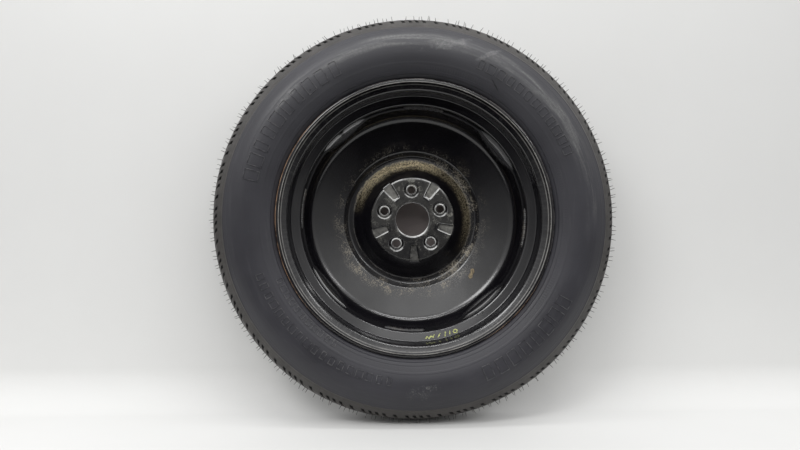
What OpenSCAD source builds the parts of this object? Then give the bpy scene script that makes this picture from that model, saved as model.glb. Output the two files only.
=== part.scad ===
// Space saver spare wheel: a narrow temporary tyre on a pressed steel wheel
// Millimetres. The wheel turns about Y. The side that faces the vehicle is at -Y,
// the outside at +Y, and the origin is at the wheel's centre, halfway across it.

/* [Tyre] */
// Outside diameter of the tyre over its crown
tyre_d = 738; // [736:1:752]
// Width of the tyre across its sidewalls
tyre_w = 165; // [160:1:170]
// Width of the tread from shoulder edge to shoulder edge
tread_w = 110; // [106:1:114]
// Radius of the crown across the tread
crown_r = 115; // [105:1:130]
// Thickness of rubber and casing at the crown
crown_t = 13; // [11:0.5:15]
// Thickness of the sidewall at its widest
sidewall_t = 7.5; // [6:0.5:9]
// Width of each bead where it sits on the rim
bead_w = 19; // [17:0.5:20]
// Radial height of the buttress, from the shoulder edge to its lower ridge
buttress_h = 16; // [13:0.5:18]

/* [Tread] */
// Times the tread pattern repeats around the tyre
pitches = 28; // [24:1:30]
// Width of the grooves that run round the tyre
groove_w = 7; // [5:0.5:8]
// Depth of the grooves that run round the tyre
groove_depth = 5.5; // [4:0.5:6]
// Distance from the middle of the tread to each side groove
groove_pitch = 27; // [25:0.5:29]
// Width of the slots that cross the shoulders
slot_w = 3.6; // [3:0.1:4.4]
// Depth of the slots that cross the shoulders
slot_depth = 4.2; // [3.4:0.2:5.2]
// Length of the shoulder slots across the tread
slot_l = 17; // [12:1:20]
// Angle at which the shoulder slots slant
slot_slant = 40; // [20:1:42]
// Length of the short notches in the shoulder edge
notch_l = 9; // [6:0.5:12]

/* [Rim] */
// Diameter at which the beads sit
seat_d = 462; // [461:0.5:463]
// Width between the rim's flanges
rim_w = 101.6; // [100:0.1:103]
// Height of the flanges above the bead seats
flange_h = 18; // [17:0.5:19]
// Width of each rolled flange
flange_w = 12.2; // [11.6:0.1:13]
// Depth of the well below the bead seats
well_depth = 19.4; // [18.5:0.1:20]
// Width of the well's floor
well_w = 32; // [30:0.5:34]
// Thickness of the rim's rolled sheet
rim_t = 2.6; // [2.2:0.1:2.8]

/* [Disc] */
// Thickness of the disc's pressed sheet
disc_t = 4; // [3.5:0.1:4.3]
// Distance of the hub's mounting face from the middle of the wheel
hub_offset = 40; // [37:0.5:42]
// Height of the hub's boss above the bottom of the nose
boss_h = 30; // [28:0.5:31]
// Diameter of the flat mounting face
pad_d = 158; // [154:1:160]
// Depth of the flange where the disc is pressed into the rim
fit_depth = 20; // [17:0.5:22]
// Width of the sheet that each flat takes off the disc's round flange
flat_sink = 6.6; // [5:0.1:7]

/* [Hub] */
// Diameter of the centre bore
bore_d = 66.1; // [64:0.1:68]
// Number of bolt holes
bolts = 5; // [5:1:5]
// Diameter of the circle through the bolt holes
bolt_circle_d = 114.3; // [112:0.1:116]
// Diameter of the bolt holes
bolt_hole_d = 15.2; // [14:0.1:15.5]
// Angle of the first bolt hole, seen from the vehicle's side
bolt_angle = 20.3; // [10:0.1:30]
// Depth of the pockets between the bolt holes
pocket_depth = 3.5; // [2.5:0.1:3.8]

/* [Welds] */
// Length of each weld bead round the disc, in degrees
weld_arc = 20.8; // [16:0.2:24]
// Leg of the weld's fillet
weld_leg = 4; // [3:0.1:4.2]
// Angle of the first weld bead
weld_angle = 85; // [80:1:88]

/* [Valve] */
// Diameter of the hole for the valve
valve_hole_d = 11.5; // [11:0.1:11.9]
// Length of the valve from the rim to its tip
valve_l = 33; // [31:0.5:36]
// Outside diameter of the valve's stem
stem_d = 7.7; // [7.3:0.1:8]
// Travel of the valve's pin
pin_travel = 1.5; // [1:0.1:1.8]

/* [Hidden] */
$fn = 180;
// Largest step of a rounded corner, in degrees
arc_step = 6;
// The part of a leg's share that a rounding may use
leg_use = 0.995;
// Clearance of a seated piece
fit = 0.05;
// Length by which a cut runs past what it cuts
over = 1;

// Tyre
tyre_r = tyre_d / 2;
half_w = tyre_w / 2;
shoulder_y = tread_w / 2;
shoulder_a = asin(shoulder_y / crown_r);
shoulder_r = crown_at(shoulder_y);
slot_in_y = shoulder_y - slot_l;
ridge_r = shoulder_r - buttress_h;
ridge_y = shoulder_y + 0.7 * buttress_h;
// Phases, within one pitch, of the slots and of the short notches
slot_phases = [0, 0.48];
notch_phases = [0.164, 0.316, 0.73];

// Rim
seat_r = seat_d / 2;
rim_y = rim_w / 2;
flange_r = seat_r + flange_h;
flange_y = rim_y + flange_w;
curl_r = flange_w / 2 - 0.6;
lip_r = flange_r - curl_r - 1.5;
// The sidewall stands between the buttress and the tyre's guard, just outside the flange
guard_r = flange_r + 7;
wall_h = ridge_r - guard_r;
heel_r = 6.5;
// The seats fall by five degrees towards the well
seat_fall = tan(5);
well_r = seat_r - well_depth;
// The well lies nearer to the outside, so the inner seat is the longer one
well_mid = -2.5;
well_in_y = well_mid - well_w / 2;
well_out_y = well_mid + well_w / 2;
// Distance along the axis that each side of the well takes to climb to its seat
well_rise = 6;
bend_r = 2;

// Disc
disc_r = well_r - rim_t - fit;
edge_y = well_out_y - 1.5 - fit_depth;
flange_in_r = disc_r - disc_t;
crown_in_r = flange_in_r - 4;
crown_y = edge_y + fit_depth + 25;
nose_y = hub_offset + boss_h;
nose_r = 122;
bowl_r = 136;
bowl_y = nose_y - 9;
pad_r = pad_d / 2;
boss_slope = 40;
step_rise = 17;
step_r = pad_r + step_rise / tan(boss_slope);
collar_l = 11;
bore_r = bore_d / 2;
flat_angle = 39.5;

// Hub
bolt_step = 360 / bolts;
bolt_hole_r = bolt_hole_d / 2;
bolt_circle_r = bolt_circle_d / 2;
trough_r = 14;
seat_wall = 2.8;
seat_top = 1.8;
seat_land = 1.5;
trough_depth = 4.6;
pocket_in_r = 51;
pocket_arc = 18.6;
pocket_wall_arc = 7.2;

// Valve: its axis stands square on the outer side of the well
wall_r = seat_r - seat_fall * (rim_y - well_out_y - well_rise);
valve_tilt = atan2(well_rise, wall_r - well_r);
valve_angle = flat_angle + 90;
valve_place = 0.47;
valve_r = well_r + valve_place * (wall_r - well_r);
valve_y = well_out_y + valve_place * well_rise;
base_r = 8;
bulb_r = 7;
stem_r = stem_d / 2;
rubber_l = valve_l - 13;
core_r = 2.3;
core_bottom = valve_l - 11;
core_top = valve_l - 1.6;
core_wall = 0.7;
core_step = 1;
pin_r = 0.5;
foot_t = 0.6;
collar_t = 0.5;
seal_t = 1;
cap_wall = 1.3;
cap_l = 11;

// Shapes and places
function crown_at(y) = tyre_r - crown_r + sqrt(crown_r * crown_r - y * y);
function flat2(p) = [p[0], p[1]];
function unit(v) = v / norm(v);

// The stretch of the leg from corner b to its neighbour a that b's rounding may take
function share(a, b) = norm(flat2(a) - flat2(b)) * b[2] / (b[2] + (len(a) > 2 ? a[2] : 0));

// Points of one corner of a path, rounded by the radius that its third value gives, as far as its legs let it
function corner(a, b, c) =
    let (u = unit(flat2(a) - flat2(b)))
    let (v = unit(flat2(c) - flat2(b)))
    let (half = acos(max(-1, min(1, u * v))) / 2)
    let (r = min(b[2], leg_use * min(share(a, b), share(c, b)) * tan(half)))
    let (middle = flat2(b) + unit(u + v) * r / sin(half))
    let (from = flat2(b) + u * r / tan(half) - middle)
    let (to = flat2(b) + v * r / tan(half) - middle)
    let (start = atan2(from[1], from[0]))
    let (sweep = (atan2(to[1], to[0]) - start + 540) % 360 - 180)
    let (steps = max(2, ceil(abs(sweep) / arc_step)))
    [for (i = [0:steps]) middle + r * [cos(start + sweep * i / steps), sin(start + sweep * i / steps)]];

// A path of [radius, y, rounding] corners as plain points
function rounded(path) =
    [for (i = [0:len(path) - 1])
        each (i == 0 || i == len(path) - 1 || path[i][2] == 0)
            ? [flat2(path[i])]
            : corner(path[i - 1], path[i], path[i + 1])];

// The normal on the left of a path at point i, long enough to keep the wall's thickness
function left_of(path, i) =
    let (last = len(path) - 1)
    let (before = unit(path[max(i, 1)] - path[max(i, 1) - 1]))
    let (after = unit(path[min(i, last - 1) + 1] - path[min(i, last - 1)]))
    let (m = [-before[1], before[0]])
    let (n = [-after[1], after[0]])
    (m + n) / (1 + m * n);
function shifted(path, d) = [for (i = [0:len(path) - 1]) path[i] + d * left_of(path, i)];
function reversed(path) = [for (i = [len(path) - 1:-1:0]) path[i]];
function mirrored(path) = [for (p = reversed(path)) [p[0], -p[1]]];

// Turns what is modelled along Z onto the wheel's axis
module along_axis() {
    rotate([-90, 0, 0])
        children();
}

// Turns what is modelled at +X to an angle seen from the vehicle's side
module at_angle(a) {
    rotate([0, -a, 0])
        children();
}

module spin(section) {
    along_axis()
        rotate_extrude()
            polygon(section);
}

// Tyre: tread, buttresses, sidewalls and beads, moulded in one
function half_tyre() =
    let (crown = [for (i = [0:8]) tyre_at(shoulder_a * i / 8)])
    let (outside = rounded([
        crown[7],
        [shoulder_r, shoulder_y, 2],
        [ridge_r, ridge_y, 6],
        [ridge_r - 0.28 * wall_h, half_w, 39],
        [ridge_r - 0.65 * wall_h, half_w, 58],
        [guard_r, flange_y + 3.5, 6],
        [flange_r + fit, flange_y - 5, 1],
        [flange_r + fit, rim_y - fit, curl_r + fit],
        [seat_r + fit, rim_y - fit, heel_r + fit],
        [seat_r + fit - seat_fall * bead_w, rim_y - bead_w, 1.5],
        [flange_r + 1, rim_y - 0.72 * bead_w, 9],
        [guard_r + 0.11 * wall_h, rim_y + 8, 14],
        [ridge_r - 0.65 * wall_h, half_w - sidewall_t, 50],
        [ridge_r - 0.27 * wall_h, half_w - sidewall_t, 36],
        [shoulder_r - 6, shoulder_y - 2, 20],
        [tyre_r - crown_t, 0.4 * shoulder_y, 60],
        [tyre_r - crown_t, 0]]))
    concat([for (i = [0:7]) crown[i]], [for (i = [1:len(outside) - 1]) outside[i]]);
function tyre_at(a) = [tyre_r - crown_r + crown_r * cos(a), crown_r * sin(a)];
function tyre_section() = concat(half_tyre(), mirrored(half_tyre()));

// One slot or notch across a shoulder from start outwards, with its floor along the crown
module shoulder_cut(start) {
    fall = atan((crown_at(slot_in_y) - crown_at(shoulder_y)) * cos(slot_slant) / (shoulder_y - slot_in_y));
    stretch = cos(fall) * cos(slot_slant);
    translate([crown_at(slot_in_y) - slot_depth, slot_in_y, 0])
        rotate([slot_slant, 0, 0])
            rotate([0, 0, fall])
                translate([0, (start - slot_in_y) / stretch, -slot_w / 2])
                    cube([slot_depth + 12, (shoulder_y - start) / stretch + 12, slot_w]);
}

module tread_cuts() {
    for (i = [0:pitches - 1]) {
        for (phase = slot_phases) {
            at_angle(-(i + phase) * 360 / pitches)
                shoulder_cut(slot_in_y);
        }
        for (phase = notch_phases) {
            at_angle(-(i + phase) * 360 / pitches)
                shoulder_cut(shoulder_y - notch_l);
        }
    }
}

module groove(y) {
    r = crown_at(y);
    spin([
        [r - groove_depth, y - 0.3 * groove_w],
        [r + groove_depth, y - 0.9 * groove_w],
        [r + groove_depth, y + 0.9 * groove_w],
        [r - groove_depth, y + 0.3 * groove_w]]);
}

module tyre() {
    color([0.13, 0.13, 0.15])
        difference() {
            spin(tyre_section());
            for (y = [-groove_pitch, 0, groove_pitch])
                groove(y);
            tread_cuts();
            // The far shoulder repeats the near one half a turn round
            rotate([180, 0, 0])
                tread_cuts();
        }
}

// Rim: one strip of sheet, rolled to a ring with a flange on each edge
function rim_path() = rounded([
    [lip_r, -flange_y],
    [flange_r, -flange_y, curl_r],
    [flange_r, -rim_y, curl_r],
    [seat_r, -rim_y, heel_r],
    [seat_r - seat_fall * (rim_y + well_in_y - well_rise), well_in_y - well_rise, bend_r + rim_t],
    [well_r, well_in_y, bend_r],
    [well_r, well_out_y, bend_r],
    [wall_r, well_out_y + well_rise, bend_r + rim_t],
    [seat_r, rim_y, heel_r],
    [flange_r, rim_y, curl_r],
    [flange_r, flange_y, curl_r],
    [lip_r, flange_y]]);

module rim() {
    color([0.09, 0.09, 0.1])
        difference() {
            spin(concat(rim_path(), reversed(shifted(rim_path(), rim_t))));
            on_valve()
                translate([0, 0, -rim_t - 3])
                    cylinder(d = valve_hole_d, h = rim_t + 6, $fn = 48);
        }
}

// Disc: one blank, drawn to a bowl with a nose, a boss for the hub and a flange
function disc_path(past) = rounded([
    [flange_in_r, edge_y - past],
    [flange_in_r, edge_y + fit_depth, 30],
    [crown_in_r, crown_y, 13],
    [bowl_r, bowl_y, 10],
    [nose_r + 4, nose_y, 7],
    [nose_r - 6, nose_y - 1, 7],
    [step_r, hub_offset + step_rise, 12],
    [pad_r, hub_offset, disc_t + 1],
    [bore_r, hub_offset, disc_t + 0.6],
    [bore_r, hub_offset + collar_l + past]]);

module bowl(path, past, half) {
    intersection() {
        spin(concat([[0, edge_y - past]], path, [[0, hub_offset + collar_l + past]]));
        // The blank's straight sides flatten the round flange at four places
        at_angle(flat_angle)
            cube([2 * half, 400, 2 * half], center = true);
    }
}

module disc_shell() {
    flat_r = disc_r - flat_sink;
    difference() {
        bowl(shifted(disc_path(0), -disc_t), 0, flat_r);
        bowl(disc_path(over), over, flat_r - disc_t);
    }
}

// A stretch of a ring about the wheel's axis, as long as its angle says
module ring_part(section, angle) {
    at_angle(angle / 2)
        along_axis()
            rotate_extrude(angle = angle)
                polygon(section);
}

module pocket() {
    floor_y = hub_offset + pocket_depth;
    ring_part([
        [pocket_in_r, hub_offset - over],
        [pocket_in_r + 1.2, floor_y],
        [pad_r + 10, floor_y],
        [pad_r + 10, hub_offset - over]], pocket_arc);
}

// The back of a pocket, where the sheet is pushed out behind it; it ends inside the boss's slope
module pocket_back() {
    foot_y = hub_offset + disc_t - over;
    top_y = hub_offset + pocket_depth + disc_t;
    out_r = pad_r + (pocket_depth + disc_t - disc_t / cos(boss_slope) + 0.2) / tan(boss_slope);
    ring_part([
        [pocket_in_r - disc_t, foot_y],
        [pocket_in_r - disc_t + 1.2, top_y],
        [out_r, top_y],
        [out_r, foot_y]], pocket_arc + pocket_wall_arc);
}

module bolt_dome() {
    top = hub_offset + trough_depth + disc_t;
    translate([0, hub_offset + disc_t - over, 0])
        along_axis()
            cylinder(r1 = trough_r + 4, r2 = trough_r + 1.5, h = top - hub_offset - disc_t + over, $fn = 64);
}

// The ring trough round a bolt hole, with the nut's seat left standing in it
module bolt_trough() {
    ring_r = bolt_hole_r + seat_wall;
    along_axis()
        rotate_extrude($fn = 64)
            polygon([
                [0, hub_offset - 1],
                [trough_r + 0.4, hub_offset - 1],
                [trough_r, hub_offset + 0.5],
                [trough_r - 1.3, hub_offset + trough_depth],
                [ring_r + 0.9, hub_offset + trough_depth],
                [ring_r, hub_offset + seat_top],
                [0, hub_offset + seat_top]]);
}

// The hole and the nut's conical seat, open to the outside
module bolt_hole() {
    land_y = hub_offset + seat_top + seat_land;
    back_y = hub_offset + trough_depth + disc_t + over;
    along_axis()
        cylinder(r = bolt_hole_r, h = 200, $fn = 64);
    translate([0, land_y, 0])
        along_axis()
            cylinder(r1 = bolt_hole_r, r2 = bolt_hole_r + (back_y - land_y) * tan(30), h = back_y - land_y, $fn = 64);
}

module at_bolts() {
    for (i = [0:bolts - 1])
        at_angle(bolt_angle + i * bolt_step)
            translate([bolt_circle_r, 0, 0])
                children();
}

module at_pockets() {
    for (i = [0:bolts - 1])
        at_angle(bolt_angle + (i + 0.5) * bolt_step)
            children();
}

module disc() {
    color([0.1, 0.1, 0.11])
        difference() {
            union() {
                disc_shell();
                at_bolts()
                    bolt_dome();
                at_pockets()
                    pocket_back();
            }
            at_bolts() {
                bolt_trough();
                bolt_hole();
            }
            at_pockets()
                pocket();
        }
}

// Weld: a fillet laid between the disc's edge and the floor of the well
module weld(i) {
    color([0.16, 0.15, 0.14])
        at_angle(weld_angle + 90 * i)
            along_axis()
                rotate([0, 0, -weld_arc / 2])
                    rotate_extrude(angle = weld_arc)
                        polygon([
                            [disc_r, edge_y - 0.01],
                            [disc_r - weld_leg, edge_y - 0.01],
                            [disc_r - 0.72 * weld_leg, edge_y - 0.55 * weld_leg],
                            [disc_r - 0.35 * weld_leg, edge_y - 0.92 * weld_leg],
                            [disc_r, edge_y - 1.1 * weld_leg]]);
}

// Valve: a rubber body pulled through the rim's hole, moulded round a brass stem
module on_valve() {
    at_angle(valve_angle)
        translate([valve_r, valve_y, 0])
            along_axis()
                rotate([0, -valve_tilt, 0])
                    translate([0, 0, rim_t])
                        children();
}

module valve_body() {
    neck_r = valve_hole_d / 2 - fit;
    color([0.07, 0.07, 0.07])
        on_valve()
            difference() {
                rotate_extrude($fn = 64)
                    polygon([
                        [0, -rim_t - 4.6],
                        [base_r - 1.6, -rim_t - 4.6],
                        [base_r, -rim_t - 3.4],
                        [base_r, -rim_t - 2.2],
                        [neck_r + 0.4, -rim_t - fit],
                        [neck_r, -rim_t - fit],
                        [neck_r, fit],
                        [neck_r + 0.4, fit],
                        [bulb_r, 2.6],
                        [bulb_r, 4.4],
                        [stem_r + 2, 9],
                        [stem_r + 1, rubber_l - 1],
                        [stem_r + 0.5, rubber_l],
                        [0, rubber_l]]);
                translate([0, 0, -rim_t - 5])
                    cylinder(r = stem_r - 0.9 + fit, h = 100, $fn = 48);
            }
}

module valve_stem() {
    root_r = stem_r - 0.9;
    foot_room = seal_t + foot_t + pin_travel + 0.5;
    color([0.72, 0.58, 0.3])
        on_valve()
            difference() {
                union() {
                    translate([0, 0, -rim_t - 4.6])
                        cylinder(r = root_r, h = valve_l + rim_t + 3, $fn = 48);
                    translate([0, 0, rubber_l + fit])
                        cylinder(r = stem_r, h = valve_l - rubber_l - 0.6, $fn = 48);
                }
                translate([0, 0, -rim_t - 5])
                    cylinder(r = core_r - 1, h = 100, $fn = 48);
                translate([0, 0, core_bottom - foot_room])
                    cylinder(r = core_r, h = 100, $fn = 48);
            }
}

module valve_core() {
    color([0.75, 0.62, 0.35])
        on_valve()
            difference() {
                translate([0, 0, core_bottom])
                    cylinder(r = core_r - fit, h = core_top - core_bottom, $fn = 48);
                translate([0, 0, core_bottom - over])
                    cylinder(r = pin_r + fit, h = 100, $fn = 32);
                translate([0, 0, core_bottom + core_step])
                    cylinder(r = core_r - core_wall, h = core_top - core_bottom - 2 * core_step, $fn = 48);
            }
}

// The pin slides in the core, with a collar for the spring and a foot for the seal
module valve_pin() {
    foot_z = core_bottom - seal_t - foot_t;
    color([0.8, 0.68, 0.4])
        on_valve() {
            translate([0, 0, foot_z])
                cylinder(r = pin_r, h = valve_l - 0.3 - foot_z, $fn = 32);
            translate([0, 0, foot_z])
                cylinder(r = core_r - 0.7, h = foot_t - fit, $fn = 32);
            translate([0, 0, core_top - core_step - collar_t - 2 * fit])
                cylinder(r = core_r - core_wall - 0.3, h = collar_t, $fn = 32);
        }
}

module valve_seal() {
    color([0.5, 0.1, 0.08])
        on_valve()
            translate([0, 0, core_bottom - seal_t])
                difference() {
                    cylinder(r = core_r - 0.5, h = seal_t - fit, $fn = 32);
                    translate([0, 0, -over])
                        cylinder(r = pin_r + fit, h = seal_t + 2 * over, $fn = 32);
                }
}

// Half turns of wire, each tilted so that it climbs half the spring's pitch
module valve_spring() {
    wire_r = 0.16;
    coil_r = pin_r + 0.45;
    turns = 5;
    low = core_bottom + core_step + 2 * wire_r;
    high = core_top - core_step - collar_t - 2 * fit - 2 * wire_r;
    climb = (high - low) / (2 * turns);
    color([0.6, 0.6, 0.62])
        on_valve()
            for (i = [0:2 * turns - 1])
                translate([0, 0, low + (i + 0.5) * climb])
                    rotate([0, 0, 180 * i])
                        rotate([0, asin(climb / (2 * coil_r)), 0])
                            rotate_extrude(angle = 180, $fn = 32)
                                translate([coil_r, 0])
                                    circle(r = wire_r, $fn = 16);
}

module valve_cap() {
    inner_r = stem_r + fit + 0.05;
    foot = valve_l + 1.2 - cap_l;
    color([0.05, 0.05, 0.05])
        on_valve()
            difference() {
                translate([0, 0, foot])
                    cylinder(r = inner_r + cap_wall, h = cap_l, $fn = 48);
                translate([0, 0, foot - 1])
                    cylinder(r = inner_r, h = cap_l, $fn = 48);
            }
}

tyre();
rim();
disc();
weld(0);  // weld_1
weld(1);  // weld_2
weld(2);  // weld_3
weld(3);  // weld_4
valve_body();
valve_stem();
valve_core();
valve_pin();
valve_seal();
valve_spring();
valve_cap();
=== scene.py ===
import itertools
import math

import bmesh
import bpy
import numpy as np
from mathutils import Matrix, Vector


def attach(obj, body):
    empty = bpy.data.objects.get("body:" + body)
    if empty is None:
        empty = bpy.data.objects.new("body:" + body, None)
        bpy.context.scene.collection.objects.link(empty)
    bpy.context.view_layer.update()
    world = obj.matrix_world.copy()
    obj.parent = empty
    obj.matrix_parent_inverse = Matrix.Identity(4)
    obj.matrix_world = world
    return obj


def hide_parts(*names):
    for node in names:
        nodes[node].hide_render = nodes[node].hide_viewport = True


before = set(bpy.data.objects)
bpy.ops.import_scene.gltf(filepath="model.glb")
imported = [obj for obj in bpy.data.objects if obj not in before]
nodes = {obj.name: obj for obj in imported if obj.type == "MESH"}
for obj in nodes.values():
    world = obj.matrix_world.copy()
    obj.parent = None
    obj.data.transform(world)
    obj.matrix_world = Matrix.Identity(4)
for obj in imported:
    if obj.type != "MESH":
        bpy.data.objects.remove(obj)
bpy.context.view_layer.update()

# Tyre
# A narrow temporary tyre of carbon-black rubber, moulded in one with its casing and beads,
# and held on the rim by the air that presses its beads on the seats. Sizes are in millimetres.
tyre_r = 369.0
crown_r = 115.0
shoulder_y = 55.0
half_w = 82.5
sidewall_t = 7.5
crown_t = 13.0
bead_w = 19.0
bead_toe_w = 0.72 * bead_w
flange_r, flange_y, rim_y, seat_r = 249.0, 63.0, 50.8, 231.0
curl_r, heel_r = 5.5, 6.5
seat_fall = math.tan(math.radians(5))
fit = 0.05
groove_y, groove_depth = 27.0, 5.5
groove_floor_half, groove_top_half, middle_top_half = 2.1, 4.3, 4.2
pitches = 28
slot_w, slot_slant = 4.6, math.radians(40)
slot_in_y, notch_in_y, slot_out_y = 38.0, 46.0, 60.0
slot_depth_in, slot_depth_out = 5.0, 3.2
step_half, tread_edge_y, plain_half_w = 0.05, 52.5, 31.0


def crown_at(y):
    return tyre_r - crown_r + math.sqrt(crown_r**2 - y**2)


# The sidewall reaches from a ridge under the tread's buttress to its foot at the flange
ridge_r, ridge_y = crown_at(shoulder_y) - 16, shoulder_y + 11.2
wall_foot_r = flange_r + 7
wall_h = ridge_r - wall_foot_r


def rounded(corners, step=6.0):
    """A section's points. A corner is (distance from the axle, y, rounding), and the ends aren't rounded."""
    points = []
    for i, corner in enumerate(corners):
        here = np.array(corner[:2], float)
        if i in (0, len(corners) - 1) or len(corner) < 3:
            points.append(here)
            continue
        u = np.array(corners[i - 1][:2]) - here
        v = np.array(corners[i + 1][:2]) - here
        u, v = u / np.linalg.norm(u), v / np.linalg.norm(v)
        half = math.acos(np.clip(u @ v, -1, 1)) / 2
        middle = here + (u + v) / np.linalg.norm(u + v) * corner[2] / math.sin(half)
        start, end = (here + w * corner[2] / math.tan(half) - middle for w in (u, v))
        turn = math.atan2(start[1], start[0])
        sweep = (math.atan2(end[1], end[0]) - turn + 3 * math.pi) % (2 * math.pi) - math.pi
        count = max(2, math.ceil(abs(math.degrees(sweep)) / step))
        for k in range(count + 1):
            a = turn + sweep * k / count
            points.append(middle + corner[2] * np.array([math.cos(a), math.sin(a)]))
    return np.array(points)


def ring_faces(rows, columns, closed):
    """Quads of a grid whose rows go round the axle."""
    last = rows if closed else rows - 1
    i, j = np.meshgrid(np.arange(last), np.arange(columns), indexing="ij")
    a, b = i * columns, (i + 1) % rows * columns
    k = (j + 1) % columns
    return np.stack([a + j, a + k, b + k, b + j], -1).reshape(-1, 4)


def tube_faces(rows, columns, base=0):
    """Faces of a tube of rings that start at point base, with an end on it at both sides."""
    count = rows * columns
    ends = [range(columns), range(count - 1, count - columns - 1, -1)]
    return [[base + k for k in face] for face in [*ring_faces(rows, columns, False).tolist(), *ends]]


def round_points(r, a, y):
    """Points at distance r from the axle, at angle a round it and y along it."""
    return np.stack(np.broadcast_arrays(r * np.cos(a), y, r * np.sin(a)), -1)


def linked(name, data):
    """A new object in the scene."""
    thing = bpy.data.objects.new(name, data)
    bpy.context.scene.collection.objects.link(thing)
    return thing


def new_piece(name, points_mm, faces, body="wheel", sharp=35, marks=None):
    """A mesh object at the origin, with smooth faces that meet in a crease above the sharp angle.

    marks holds values for each point by name, which the material reads."""
    mesh = bpy.data.meshes.new(name)
    corners = [tuple(int(k) for k in face) for face in faces]
    mesh.from_pydata((np.asarray(points_mm) / 1000).tolist(), [], corners)
    for label, values in (marks or {}).items():
        mesh.attributes.new(label, "FLOAT", "POINT").data.foreach_set("value", np.asarray(values, np.float32))
    work = bmesh.new()
    work.from_mesh(mesh)
    bmesh.ops.recalc_face_normals(work, faces=work.faces)
    work.to_mesh(mesh)
    work.free()
    mesh.shade_smooth()
    mesh.set_sharp_from_angle(angle=math.radians(sharp))
    piece = linked(name, mesh)
    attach(piece, body)
    return piece


def side_rows():
    """Half of the tyre's outer section, from the middle of the tread to the bead's toe."""
    middle, floor = crown_at(0) - groove_depth, crown_at(groove_y) - groove_depth
    rows = [(middle, 0.0), (middle, groove_floor_half)]
    rows += [(crown_at(y), y) for y in (middle_top_half, 10, 16.5, groove_y - groove_top_half)]
    rows += [(floor, groove_y - groove_floor_half), (floor, groove_y + groove_floor_half)]
    beyond = [groove_y + groove_top_half, 35, slot_in_y - step_half, slot_in_y + step_half, 42]
    beyond += [notch_in_y - step_half, notch_in_y + step_half, 49.5, tread_edge_y]
    rows += [(crown_at(y), y) for y in beyond]
    outside = rounded([
        (crown_at(tread_edge_y), tread_edge_y),
        (crown_at(shoulder_y), shoulder_y, 1.2),
        (crown_at(shoulder_y) - 2.4, shoulder_y + 1.7),
        (crown_at(shoulder_y) - 5.4, shoulder_y + 3.8),
        (ridge_r, ridge_y, 5),
        (ridge_r - 0.28 * wall_h, half_w, 39),
        (ridge_r - 0.65 * wall_h, half_w, 58),
        (wall_foot_r, flange_y + 3.5, 6),
        (flange_r + fit, flange_y - 5, 1),
        (flange_r + fit, rim_y - fit, curl_r + fit),
        (seat_r + fit, rim_y - fit, heel_r + fit),
        (seat_r + fit - seat_fall * bead_w, rim_y - bead_w, 1.5),
        (flange_r + 1, rim_y - bead_toe_w)], 13)
    return rows + [tuple(p) for p in outside[1:]]


def inner_rows():
    """Half of the tyre's inner section, from the bead's toe to the middle of the tread."""
    inside = rounded([
        (flange_r + 1, rim_y - bead_toe_w),
        (wall_foot_r + 0.11 * wall_h, rim_y + 8),
        (ridge_r - 0.65 * wall_h, half_w - sidewall_t, 50),
        (ridge_r - 0.27 * wall_h, half_w - sidewall_t, 36),
        (crown_at(shoulder_y) - 6, shoulder_y - 2, 20),
        (tyre_r - crown_t, 0.4 * shoulder_y),
        (tyre_r - crown_t, 0)], 32)
    return [tuple(p) for p in inside[1:]]


def pitch_columns(cuts):
    """One pitch's columns: angles in degrees, and whether each is in a slot (2), a notch (1) or neither."""
    pitch = 360 / pitches
    half = math.degrees(slot_w / math.cos(slot_slant) / 2 / crown_at(shoulder_y))
    steep = 0.03
    angles, kinds = [], []
    has_column_after = (False, False, False, True, True)
    for k, (phase, kind) in enumerate(cuts):
        a = phase * pitch
        angles += [a - half - steep, a - half + steep, a + half - steep, a + half + steep]
        kinds += [0, kind, kind, 0]
        following = (cuts[(k + 1) % len(cuts)][0] + (k + 1 == len(cuts))) * pitch - half
        if has_column_after[k]:
            angles.append((a + half + following) / 2)
            kinds.append(0)
    return np.array(angles), np.array(kinds)


def tyre_grid():
    """Points, faces and each point's share of the cut's depth. The two shoulders' patterns differ."""
    near, near_kind = pitch_columns([(0, 2), (0.164, 1), (0.316, 1), (0.48, 2), (0.73, 1)])
    far, far_kind = pitch_columns([(0, 2), (0.27, 1), (0.52, 2), (0.684, 1), (0.836, 1)])
    turn = np.repeat(np.arange(pitches) * 360 / pitches, len(near))
    near, far = np.tile(near, pitches) + turn, np.tile(far, pitches) + turn
    near_kind, far_kind = np.tile(near_kind, pitches), np.tile(far_kind, pitches)
    half, hollow = side_rows(), inner_rows()
    outer = [(r, -y) for r, y in reversed(half[1:])] + half
    section = outer + hollow + [(r, -y) for r, y in reversed(hollow[:-1])]
    drop = (crown_at(slot_in_y) - crown_at(shoulder_y)) / (shoulder_y - slot_in_y)
    points, depths = [], []
    for i, (r, y) in enumerate(section):
        share = min(max((y + plain_half_w) / (2 * plain_half_w), 0), 1)
        run = (min(abs(y), slot_out_y) - slot_in_y) * math.tan(slot_slant)
        lean = max(math.degrees(run / crown_at(shoulder_y)), 0) * (1 if y > 0 else -1)
        a = np.radians(near * (1 - share) + far * share + lean)
        radius = np.full(len(near), r)
        kind = near_kind if y < 0 else far_kind
        start = np.where(kind == 2, slot_in_y, notch_in_y)
        if i < len(outer):
            depth = np.interp(abs(y), (slot_in_y, slot_out_y), (slot_depth_in, slot_depth_out))
            floor = crown_at(slot_in_y) - depth - (abs(y) - slot_in_y) * drop
            cut = (kind > 0) & (abs(y) > start) & (abs(y) < slot_out_y)
            radius = np.where(cut, np.minimum(radius, floor), radius)
        points.append(round_points(radius, a, y))
        depths.append((r - radius) / slot_depth_out)
    return np.concatenate(points), ring_faces(len(section), len(near), True), np.concatenate(depths)


points, faces, depths = tyre_grid()
tyre = new_piece("tyre_rubber", points, faces, sharp=40, marks={"cut": depths})
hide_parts("tyre")


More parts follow.
